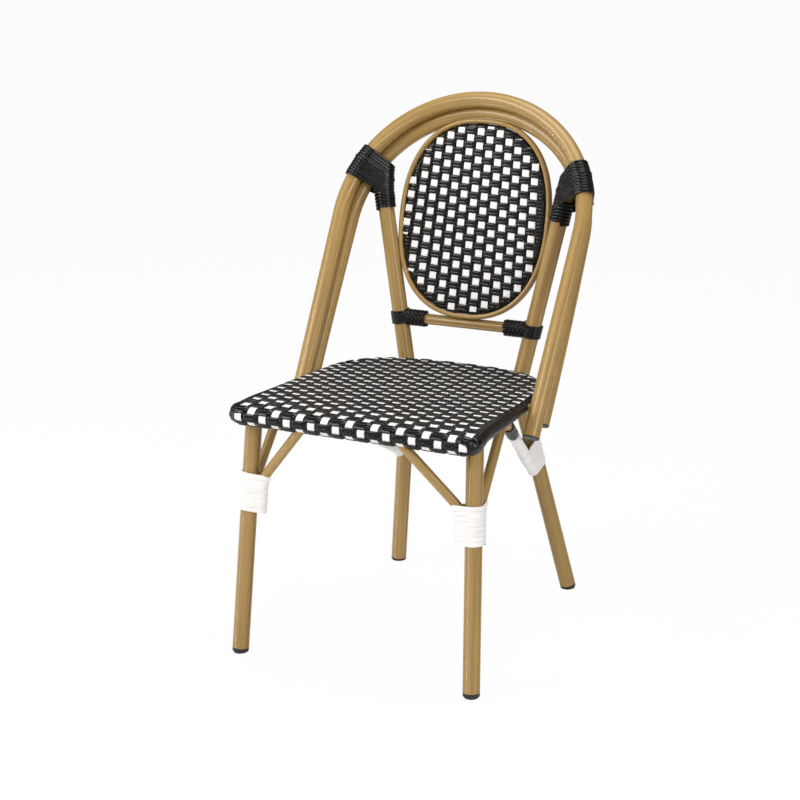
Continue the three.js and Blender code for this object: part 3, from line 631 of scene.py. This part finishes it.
def follow(name, strands, slot, replaced, loop=False, **sizes):
    """Sweeps a section along paths. Each strand is a path, its facing and, if it has them, its crossings,
    its start along the pattern and the spread of its width."""
    points, edges, first = [], [], 0
    columns = {"facing": [], "crossing": [], "start": [], "spread": []}
    for strand in strands:
        path = strand["path"]
        count = len(path)
        points.append(path)
        last = count if loop else count - 1
        edges += [(first + k, first + (k + 1) % count) for k in range(last)]
        first += count
        columns["facing"].append(np.broadcast_to(strand["facing"], (count, 3)))
        for key, plain in (("crossing", 0.5), ("start", 0.0), ("spread", 1.0)):
            columns[key].append(np.broadcast_to(strand.get(key, plain), (count,)))
    mesh = bpy.data.meshes.new(name)
    mesh.from_pydata(np.vstack(points), edges, [])
    for key, values in columns.items():
        vector = key == "facing"
        attribute = mesh.attributes.new(key, "FLOAT_VECTOR" if vector else "FLOAT", "POINT")
        flat = np.concatenate(values).astype(np.float32).ravel()
        attribute.data.foreach_set("vector" if vector else "value", flat)
    obj = bpy.data.objects.new(name + "_path", mesh)
    bpy.context.scene.collection.objects.link(obj)
    modifier = obj.modifiers.new("follow", "NODES")
    modifier.node_group = path_tree
    given = {"Corner Steps": 2, "Rise": 0.0, "Steepness": 1.0, "Finish": finishes[slot]} | sizes
    for item in path_tree.interface.items_tree:
        if item.in_out == "INPUT" and item.name in given:
            modifier[item.identifier] = given[item.name]
    evaluated = obj.evaluated_get(bpy.context.evaluated_depsgraph_get())
    made = bpy.data.meshes.new_from_object(evaluated)
    made.name = name
    bpy.data.objects.remove(obj)
    for spare in ("facing", "crossing", "start", "spread", "across", "run"):
        if spare in made.attributes:
            made.attributes.remove(made.attributes[spare])
    piece(name, made, replaced)


def tube(name, path, radius, node, loop=False):
    """A round tube in the place of a CAD tube."""
    path = even(path, tube_step, loop)
    aside = unit(np.cross(tangents(path, loop), vec(*across_tubes)))
    start = print_starts[0] * path[0, 0] + print_starts[1] * path[-1, 2]
    follow(name, [{"path": path, "facing": aside, "start": start}], "bamboo_print", [node], loop,
           Width=2 * radius, Thickness=2 * radius, Rounding=radius, **{"Corner Steps": round_steps})


def tube_pair(name, path, radius):
    tube(f"right_{name}_tube", path, radius, f"right_{name}")
    tube(f"left_{name}_tube", mirrored(path), radius, f"left_{name}")


def make_frame():
    tube("outer_hoop_tube", outer_line, tube_radius, "outer_hoop")
    tube("inner_hoop_tube", inner_line, tube_radius, "inner_hoop")
    foot = rear_leg_at(cap_height)
    tube_pair("rear_leg", np.vstack([foot, rear_line[1:]]), tube_radius)
    tube_pair("front_leg", np.array([front_leg_at(cap_height), front_leg_top]), tube_radius)
    for name, line in braces.items():
        hidden = rear_strap_end if name == "rear_brace" else front_strap_end
        tube_pair(name, line[line[:, 2] > hidden], brace_radius)
    seat_line = in_seat(seat_outline(seat_front_half, seat_corner_radius))
    tube("seat_frame_tube", seat_line, seat_tube_radius, "seat_frame", loop=True)
    for name, y in seat_bar_ys.items():
        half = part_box(name)[1].x
        tube(name + "_tube", vec([-half, half], y, seat_z(y)), bar_radius, name)
    for name, other in (("hoop_stub", outer_line), ("upright_stub", rear_line)):
        tube_pair(name, nearest(seat_line, other), stub_radius)
    tube("back_rail_tube", np.array([mirrored(rail_end), rail_end]), rail_radius, "back_rail")
    oval = even(in_ring(rounded_oval(ring_half_width, ring_half_height, ring_power)), ring_step, loop=True)
    follow("back_ring_tube", [{"path": oval, "facing": ring_back}], "bamboo_print", ["back_ring"], True,
           Width=ring_width, Thickness=ring_depth, Rounding=ring_width / 2 * ring_edge,
           **{"Corner Steps": round_steps})


def nearest(first, second):
    """The two points where the right halves of two paths come closest."""
    first, second = (even(p[p[:, 0] > right_half_from], nearest_step) for p in (first, second))
    apart = np.linalg.norm(first[:, None] - second[None], axis=2)
    i, j = np.unravel_index(np.argmin(apart), apart.shape)
    return np.array([first[i], second[j]])


make_frame()


# Woven sheets. A sheet is flat inside its outline and rolls back round the tube that it is woven on.

class Sheet:
    """A woven sheet: its outline in its own plane, the radius of its roll at a point of the outline and its
    place in the chair."""

    def __init__(self, outline, roll, place):
        self.outline, self.roll, self.place = outline, roll, place
        along = unit(np.roll(outline, -1, axis=0) - np.roll(outline, 1, axis=0))
        self.outward = np.stack([along[:, 1], -along[:, 0]], axis=1)

    def beyond(self, points):
        """How far points lie outside the outline, its nearest point and the outward direction there."""
        start, outward = self.outline, self.outward
        edge = np.roll(start, -1, axis=0) - start
        rel = points[:, None] - start[None]
        share = np.clip((rel * edge).sum(2) / (edge ** 2).sum(1), 0, 1)
        apart = np.linalg.norm(rel - share[..., None] * edge, axis=2)
        best = np.argmin(apart, axis=1)
        pick = share[np.arange(len(points)), best][:, None]
        foot = start[best] + pick * edge[best]
        direction = unit(mix(outward[best], np.roll(outward, -1, axis=0)[best], pick))
        return ((points - foot) * direction).sum(1), foot, direction

    def at(self, points):
        """The places on the sheet of points of the unrolled plane, and the directions that it faces there."""
        out, foot, direction = self.beyond(points)
        roll = self.roll(np.where(out[:, None] > 0, foot, points))
        angle = np.clip(out / roll, 0, None)
        flat = np.where(out[:, None] > 0, foot + direction * (roll * np.sin(angle))[:, None], points)
        rise = roll * np.cos(angle)
        place = self.place(flat, rise)
        step = 0.0001
        aside = step * direction * np.sin(angle)[:, None]
        facing = unit(self.place(flat + aside, rise + step * np.cos(angle)) - place)
        return place, facing, angle

    def fanned(self, line, angle):
        """How much wider the sheet gets across a line where it fans out round a corner."""
        wider = np.ones(len(line))
        rolled = angle > 0
        if rolled.any():
            step = 0.0005
            along = unit(np.gradient(line, axis=0))[rolled]
            aside = step * np.stack([-along[:, 1], along[:, 0]], axis=1)
            apart = self.at(line[rolled] + aside)[0] - self.at(line[rolled] - aside)[0]
            wider[rolled] = np.clip(np.linalg.norm(apart, axis=1) / (2 * step), 1, fan_limit)
        return wider


def woven(sheet, line, crossing, wrap, start, border=None, spread=None):
    """One strand of a sheet along a line of its unrolled plane. It is cut where it has gone far enough round
    or, if it has a border, that far beyond the outline. A strand with a spread fans out round corners."""
    place, facing, angle = sheet.at(line)
    kept = angle < wrap
    if border is not None:
        kept &= sheet.beyond(line)[0] < border
    wider = 1 if spread is None else spread * sheet.fanned(line, angle)[kept]
    return {"path": place[kept], "facing": facing[kept], "crossing": crossing[kept], "start": start,
            "spread": wider}


def strands_of(sheet, lines, wrap):
    """The strands of a sheet. Each line comes with its crossings and what else woven needs for it."""
    return [woven(sheet, line, crossing, wrap, start_step * k, **more)
            for k, (line, crossing, more) in enumerate(lines)]


def weave(name, node, sheet, white, black, wrap):
    """Flat white straps one way and pairs of rounder black strands the other."""
    follow(name + "_white_straps", strands_of(sheet, white, wrap), "white_strand", [node],
           Width=white_width, Thickness=white_thickness, Rounding=white_thickness * white_edge,
           Rise=white_rise, Steepness=weave_steepness)
    for parity, lines in black.items():
        follow(f"{name}_black_strands_{parity}", strands_of(sheet, lines, wrap), "black_strand", [node],
               Width=black_width[name], Thickness=black_thickness, Rounding=black_thickness * black_edge,
               Rise=weave_rise, Steepness=weave_steepness)


def seat_row(row):
    """Where a row of the seat lies in the unrolled plane."""
    front = np.minimum(0, row - front_rows)
    spread = edge_row_shift * ease(*edge_rows, row)
    return row_shift + np.maximum(row, front_rows) * row_pitch + front * front_row_pitch - spread


def seat_column(column, y):
    """How far a column of the seat is from the middle. The last ones keep to the frame tube's side."""
    near = ease(*front_dip_ys, y)
    x = column * column_pitch * (1 + front_spread * near) + front_shift * near
    if abs(column) == seat_columns:
        x = np.sign(column) * np.minimum(abs(x), np.interp(y, *side_of_seat))
    return x


def make_seat():
    """White straps run from front to back, one over and one under pairs of black strands."""
    roll = lambda points: seat_roll * (1 + (front_roll_share - 1) * ease(*front_dip_ys, points[:, 1]))
    sheet = Sheet(seat_outline(woven_front_half, woven_corner_radius), roll, in_seat)
    rows = np.arange(*seat_rows)
    places = seat_row(rows)
    white, black = [], {0: [], 1: []}
    y = np.arange(places[0], places[-1], white_step)
    columns = np.arange(-seat_columns, seat_columns + 1)
    for column in columns:
        kept = y < (last_column_end if abs(column) == seat_columns else 1)
        line = np.stack([seat_column(column, y), y], axis=1)[kept]
        white.append((line, (np.interp(y, places, rows) + column + 1)[kept], {}))
    x = np.arange(-seat_front_half - seat_reach, seat_front_half + seat_reach, black_step)
    for row, place, room in zip(rows, places, np.gradient(places)):
        at = [float(seat_column(column, np.float64(place))) for column in columns]
        ends = [at[0] - column_pitch / 2, *at, at[-1] + column_pitch / 2]
        count = np.interp(x, ends, [columns[0] - 0.5, *columns, columns[-1] + 0.5])
        for side in (-1, 1):
            line = np.stack([x, place + side * strand_share * room + 0 * x], axis=1)
            black[row % 2].append((line, count + row, {"spread": room / row_pitch}))
    weave("seat", "seat_weave", sheet, white, black, seat_wrap)


def make_back():
    """The back is woven in the same way, with upright white straps, on an inner ring of its own."""
    inset = ring_width / 2 + touch + back_roll + weave_rise
    outline = even(rounded_oval(ring_half_width - inset, ring_half_height - inset, ring_power),
                   outline_step, loop=True)
    sheet = Sheet(outline, lambda points: np.full(len(points), back_roll),
                  lambda flat, height: in_ring(flat, height + back_sheet_place))
    columns = np.arange(-back_columns, back_columns + 1)
    places = back_column_shift + columns * back_column_pitch - columns ** 2 * back_column_bow
    white, black = [], {0: [], 1: []}
    v = np.arange(-ring_half_height - back_reach, ring_half_height + back_reach, white_step)
    for column, place in zip(columns, places):
        u = place * (1 - back_draw * v)
        crossing = (v - back_row_tilt * u - back_row_shift) / back_row_pitch + column + 1
        white.append((np.stack([u, v], axis=1), crossing, {"border": back_border}))
    ends = [places[0] - back_column_pitch / 2, *places, places[-1] + back_column_pitch / 2]
    counts = [columns[0] - 0.5, *columns, columns[-1] + 0.5]
    u = np.arange(-ring_half_width - back_reach, ring_half_width + back_reach, black_step)
    for row in range(*back_rows):
        for side in (-1, 1):
            v = back_row_shift + (row + side * strand_share) * back_row_pitch + back_row_tilt * u
            crossing = np.interp(u / (1 - back_draw * v), ends, counts) + row
            black[row % 2].append((np.stack([u, v], axis=1), crossing, {"spread": 1.0}))
    weave("back", "back_weave", sheet, white, black, back_wrap)
    ring = {"path": in_ring(outline, back_sheet_place), "facing": ring_back}
    follow("back_inner_ring", [ring], "black_strand", ["back_weave"], True,
           Width=2 * inner_ring_reach, Thickness=2 * inner_ring_radius,
           Rounding=inner_ring_radius * inner_ring_edge, **{"Corner Steps": strap_corner_steps})


make_seat()
make_back()


# Bound joints. A strap winds round its tubes in planes that move from one end of the binding to the other.

def crossing_at(path, base, normal):
    """Where a path crosses a plane nearest to its base, and the path's direction there."""
    height = (path - base) @ normal
    best = None
    for i in np.nonzero(height[:-1] * height[1:] <= 0)[0]:
        point = mix(path[i], path[i + 1], height[i] / (height[i] - height[i + 1]))
        far = np.linalg.norm(point - base)
        if best is None or far < best[0]:
            best = (far, point, unit(path[i + 1] - path[i]))
    return best[1:]


def oval_in(plane, path, radius):
    """The oval in which a plane cuts a round tube, in the plane's own two axes."""
    base, normal, across, up = plane
    point, along = crossing_at(path, base, normal)
    side = unit(np.cross(along, across))
    high = np.cross(side, along)
    angle = np.linspace(0, 2 * pi, 64, endpoint=False)[:, None]
    out = radius * (np.cos(angle) * side + np.sin(angle) * high)
    out = out - along * (out @ normal / (along @ normal))[:, None] + point - base
    return np.stack([out @ across, out @ up], axis=1)


def hull_of(points):
    """The corners of the convex hull of points, anticlockwise."""
    points = points[np.lexsort((points[:, 1], points[:, 0]))]

    def chain(these):
        kept = []
        for p in these:
            while len(kept) > 1:
                (ax, ay), (bx, by) = kept[-2:]
                if (bx - ax) * (p[1] - by) - (by - ay) * (p[0] - bx) > 0:
                    break
                kept.pop()
            kept.append(tuple(p))
        return kept[:-1]

    return np.array(chain(points) + chain(points[::-1]))


def round_hull(hull, share):
    """The place at a share of the way round a hull, from its rightmost corner, and the direction outwards."""
    hull = np.roll(hull, -np.argmax(hull[:, 0]), axis=0)
    closed = np.vstack([hull, hull[:1]])
    run = np.concatenate([[0], np.cumsum(np.linalg.norm(np.diff(closed, axis=0), axis=1))])
    spot = lambda s: np.array([np.interp((s % 1) * run[-1], run, closed[:, k]) for k in range(2)])
    along = unit(spot(share + hull_nudge) - spot(share - hull_nudge))
    return spot(share), np.array([along[1], -along[0]])


def plane_between(start, end, share):
    """A plane part of the way from one to another: a point of it, its normal and its own two axes."""
    guide = unit(vec(start[1][1], -start[1][0], 0))
    normal = unit(mix(start[1], end[1], share))
    up = unit(np.cross(normal, guide))
    return mix(start[0], end[0], share), normal, np.cross(up, normal), up


def square_at(path, z):
    """The plane square to the right half of a path at a height."""
    points = path[path[:, 0] > 0]
    above = points[:, 2] - z
    i = np.nonzero(above[:-1] * above[1:] <= 0)[0][0]
    low, high = sorted(points[i:i + 2], key=lambda p: p[2])
    return mix(low, high, (z - low[2]) / (high[2] - low[2])), unit(high - low)


sides = (("right", [1, 1, 1]), ("left", [-1, 1, 1]))


def turned(strands, turn):
    """Strands of the right side, or mirrored for the left one."""
    return [strand | {"path": strand["path"] * turn, "facing": strand["facing"] * turn} for strand in strands]


def binding(name, slot, binds, start, end):
    """Winds a strap round tubes, from one plane to another, on both sides of the chair. Its width follows
    the distance between its turns."""
    loops, thickness, overlap, steps = windings[name]
    members = [(path, radius + thickness / 2) for path, radius in binds]
    half = 0.5 / (loops + 1)
    path, facing, pitch = [], [], []
    for step in range(loops * steps + 1):
        share = mix(half, 1 - half, step / (loops * steps))
        spots = []
        for nudge in (-half, 0, half):
            plane = plane_between(start, end, share + nudge)
            base, _, across, up = plane
            hull = hull_of(np.vstack([oval_in(plane, *member) for member in members]))
            spot, out = round_hull(hull, (step % steps) / steps)
            spots.append((base + spot[0] * across + spot[1] * up, out[0] * across + out[1] * up))
        path.append(spots[1][0])
        facing.append(spots[1][1])
        pitch.append(np.linalg.norm(spots[2][0] - spots[0][0]))
    middle = np.median(pitch)
    spread = np.clip(np.array(pitch) / middle, *spread_limits)
    strand = {"path": np.array(path), "facing": np.array(facing), "spread": spread}
    for side, turn in sides:
        follow(f"{side}_{name}_strap", turned([strand], turn), slot, [f"{side}_{name}"],
               Width=middle * overlap, Thickness=thickness, Rounding=thickness * strap_edge,
               **{"Corner Steps": strap_corner_steps})


def make_bindings():
    # Above its end, the upright's place in the binding is taken by the inner hoop.
    joined = inner_line[round(len(inner_line) * into_hoop_share):len(inner_line) // 2]
    turning = bent([upright_at(upright_wrap_heights[0]), upright_at(upright_top), joined[0]], into_hoop_bend)
    into_hoop = np.vstack([rear_line[:-1], turning, joined[1:]])
    upright_on = np.vstack([rear_line[:-1], upright_at(upright_top + past_upright)])
    wide, slim = tube_radius + touch, brace_radius
    front, side, rear = braces["front_brace"], braces["side_brace"], braces["rear_brace"]
    leg = np.array([front_leg_at(0), front_leg_top])
    limits = lambda path, heights: tuple(square_at(path, z) for z in heights)
    tilted = lambda plane, normal: (plane[0], unit(vec(*normal)))
    hoop_low, hoop_high = limits(outer_line, hoop_wrap_heights)
    hoop_high = (hoop_high[0], unit(mix(hoop_high[1], hoop_plane_up, hoop_top_tilt)))
    binding("hoop_wrap", "black_strand", [(outer_line, wide), (inner_line, wide), (into_hoop, wide)],
            hoop_low, hoop_high)
    low, high = limits(rear_line, upright_wrap_heights)
    # The strap turns on from square to the upright until it lies along the strap on the hoops.
    into = (high[0], unit(mix(high[1], hoop_low[1], upright_top_tilt)))
    binding("upright_wrap", "black_strand", [(upright_on, wide)], low, into)
    low, high = limits(leg, front_leg_wrap_heights)
    binding("front_leg_wrap", "white_strand", [(leg, wide), (front, slim), (side, slim)], low, high)
    low, high = limits(rear_line, rear_leg_wrap_heights)
    longer = np.vstack([rear[0] + unit(rear[0] - rear[1]) * seat_tube_radius, rear])
    binding("rear_leg_wrap", "white_strand", [(rear_line, wide), (longer, slim)],
            tilted(low, rear_leg_low_normal), tilted(high, rear_leg_high_normal))
    binding("rear_brace_wrap", "white_strand", [(rear, slim)], *limits(rear, rear_brace_wrap_heights))
    binding("seat_brace_wrap", "black_strand", [(rear, slim)], *limits(rear, seat_brace_wrap_heights))


make_bindings()


def make_rail_joints():
    """The strap of a rail joint goes round the upright and then out along the rail in a braid of strands
    that cross over and under each other."""
    along_post = unit(vec(upright_spread, upright_lean, 1))
    side = unit(np.cross(along_post, vec(0, 1, 0)))
    front = np.cross(along_post, side)
    turn = np.linspace(0, 2 * pi * post_loops, sleeve_steps * post_loops)[:, None]
    out = side * np.cos(turn) + front * np.sin(turn)
    rise = (turn / turn[-1] - 0.5) * (post_sleeve_length - braid_width)
    round_post = out * (tube_radius + touch + braid_thickness / 2)
    post = {"path": rail_end + along_post * rise + round_post, "facing": out}
    braid = []
    run = np.linspace(-tube_radius / 2, rail_sleeve_length, sleeve_steps)[:, None] + tube_radius
    for strand in range(braid_strands):
        for way in (-1, 1):
            angle = 2 * pi * strand / braid_strands + way * (run - tube_radius) / rail_radius
            out = vec(0, np.cos(angle[:, 0]), np.sin(angle[:, 0]))
            path = rail_end - run * vec(1, 0, 0) + out * (rail_radius + braid_thickness)
            crossing = (run[:, 0] - tube_radius) / rail_radius * braid_strands / pi + (way + 1) / 2
            braid.append({"path": path, "facing": out, "crossing": crossing})
    for name, turn in sides:
        for part, strands in (("post", [post]), ("braid", braid)):
            follow(f"{name}_rail_{part}_strap", turned(strands, turn), "black_strand", [f"{name}_rail_wrap"],
                   Width=braid_width, Thickness=braid_thickness, Rounding=braid_thickness * strap_edge,
                   Rise=braid_rise)


make_rail_joints()


def make_caps():
    for name, node in nodes.items():
        if name.endswith(("_cap", "_plug")):
            node.data.materials.clear()
            node.data.materials.append(black_plastic)


make_caps()


# Floor, light and camera

def make_stage():
    mesh = bpy.data.meshes.new("floor")
    corners = [(x * floor_reach, y * floor_reach, 0) for x, y in ((-1, -1), (1, -1), (1, 1), (-1, 1))]
    mesh.from_pydata(corners, [], [(0, 1, 2, 3)])
    floor = bpy.data.objects.new("floor", mesh)
    bpy.context.scene.collection.objects.link(floor)
    material, tree, shader = surface("pale_floor")
    shader.inputs["Base Color"].default_value = colour("#f2f2f2")
    shader.inputs["Roughness"].default_value = 0.9
    ray = add(tree, "ShaderNodeLightPath")
    seen = add(tree, "ShaderNodeMath", {0: ray.outputs["Is Camera Ray"], 1: floor_seen_white},
               operation="MULTIPLY")
    white = add(tree, "ShaderNodeEmission", {"Color": (1, 1, 1, 1), "Strength": 1.0})
    blend = add(tree, "ShaderNodeMixShader",
                {"Fac": seen.outputs[0], 1: shader.outputs[0], 2: white.outputs[0]})
    tree.links.new(blend.outputs[0], tree.nodes["Material Output"].inputs["Surface"])
    mesh.materials.append(material)


def lamp(name, place, size, power):
    light = bpy.data.lights.new(name, "AREA")
    light.shape = "RECTANGLE"
    light.size, light.size_y = size
    light.energy = power
    obj = bpy.data.objects.new(name, light)
    bpy.context.scene.collection.objects.link(obj)
    obj.location = place
    aim = Vector(lamp_aim) - Vector(place)
    obj.rotation_euler = aim.to_track_quat("-Z", "Y").to_euler()


def make_light():
    """Soft lamps from both sides and above. Two tall strips draw the thin highlights along the tubes."""
    for name, (place, size, power) in lamps.items():
        lamp(name, place, size, power)
    world = bpy.data.worlds.new("studio")
    world.use_nodes = True
    background = world.node_tree.nodes["Background"]
    background.inputs["Color"].default_value = (1, 1, 1, 1)
    # The camera sees it as white as the floor, and it lights the chair only a little.
    ray = add(world.node_tree, "ShaderNodeLightPath").outputs["Is Camera Ray"]
    strength = add(world.node_tree, "ShaderNodeMath", {0: ray, 1: 1 - world_light, 2: world_light},
                   operation="MULTIPLY_ADD")
    world.node_tree.links.new(strength.outputs[0], background.inputs["Strength"])
    bpy.context.scene.world = world


def make_camera():
    data = bpy.data.cameras.new("camera")
    data.sensor_width = sensor_width
    data.lens = focal_pixels / photo_width * sensor_width
    data.clip_end = clip_end
    camera = bpy.data.objects.new("camera", data)
    bpy.context.scene.collection.objects.link(camera)
    camera.location = camera_place
    camera.rotation_euler = (radians(90 - camera_pitch), 0, radians(camera_yaw))
    bpy.context.scene.camera = camera


make_stage()
make_light()
make_camera()
bpy.context.scene.view_settings.view_transform = "Standard"
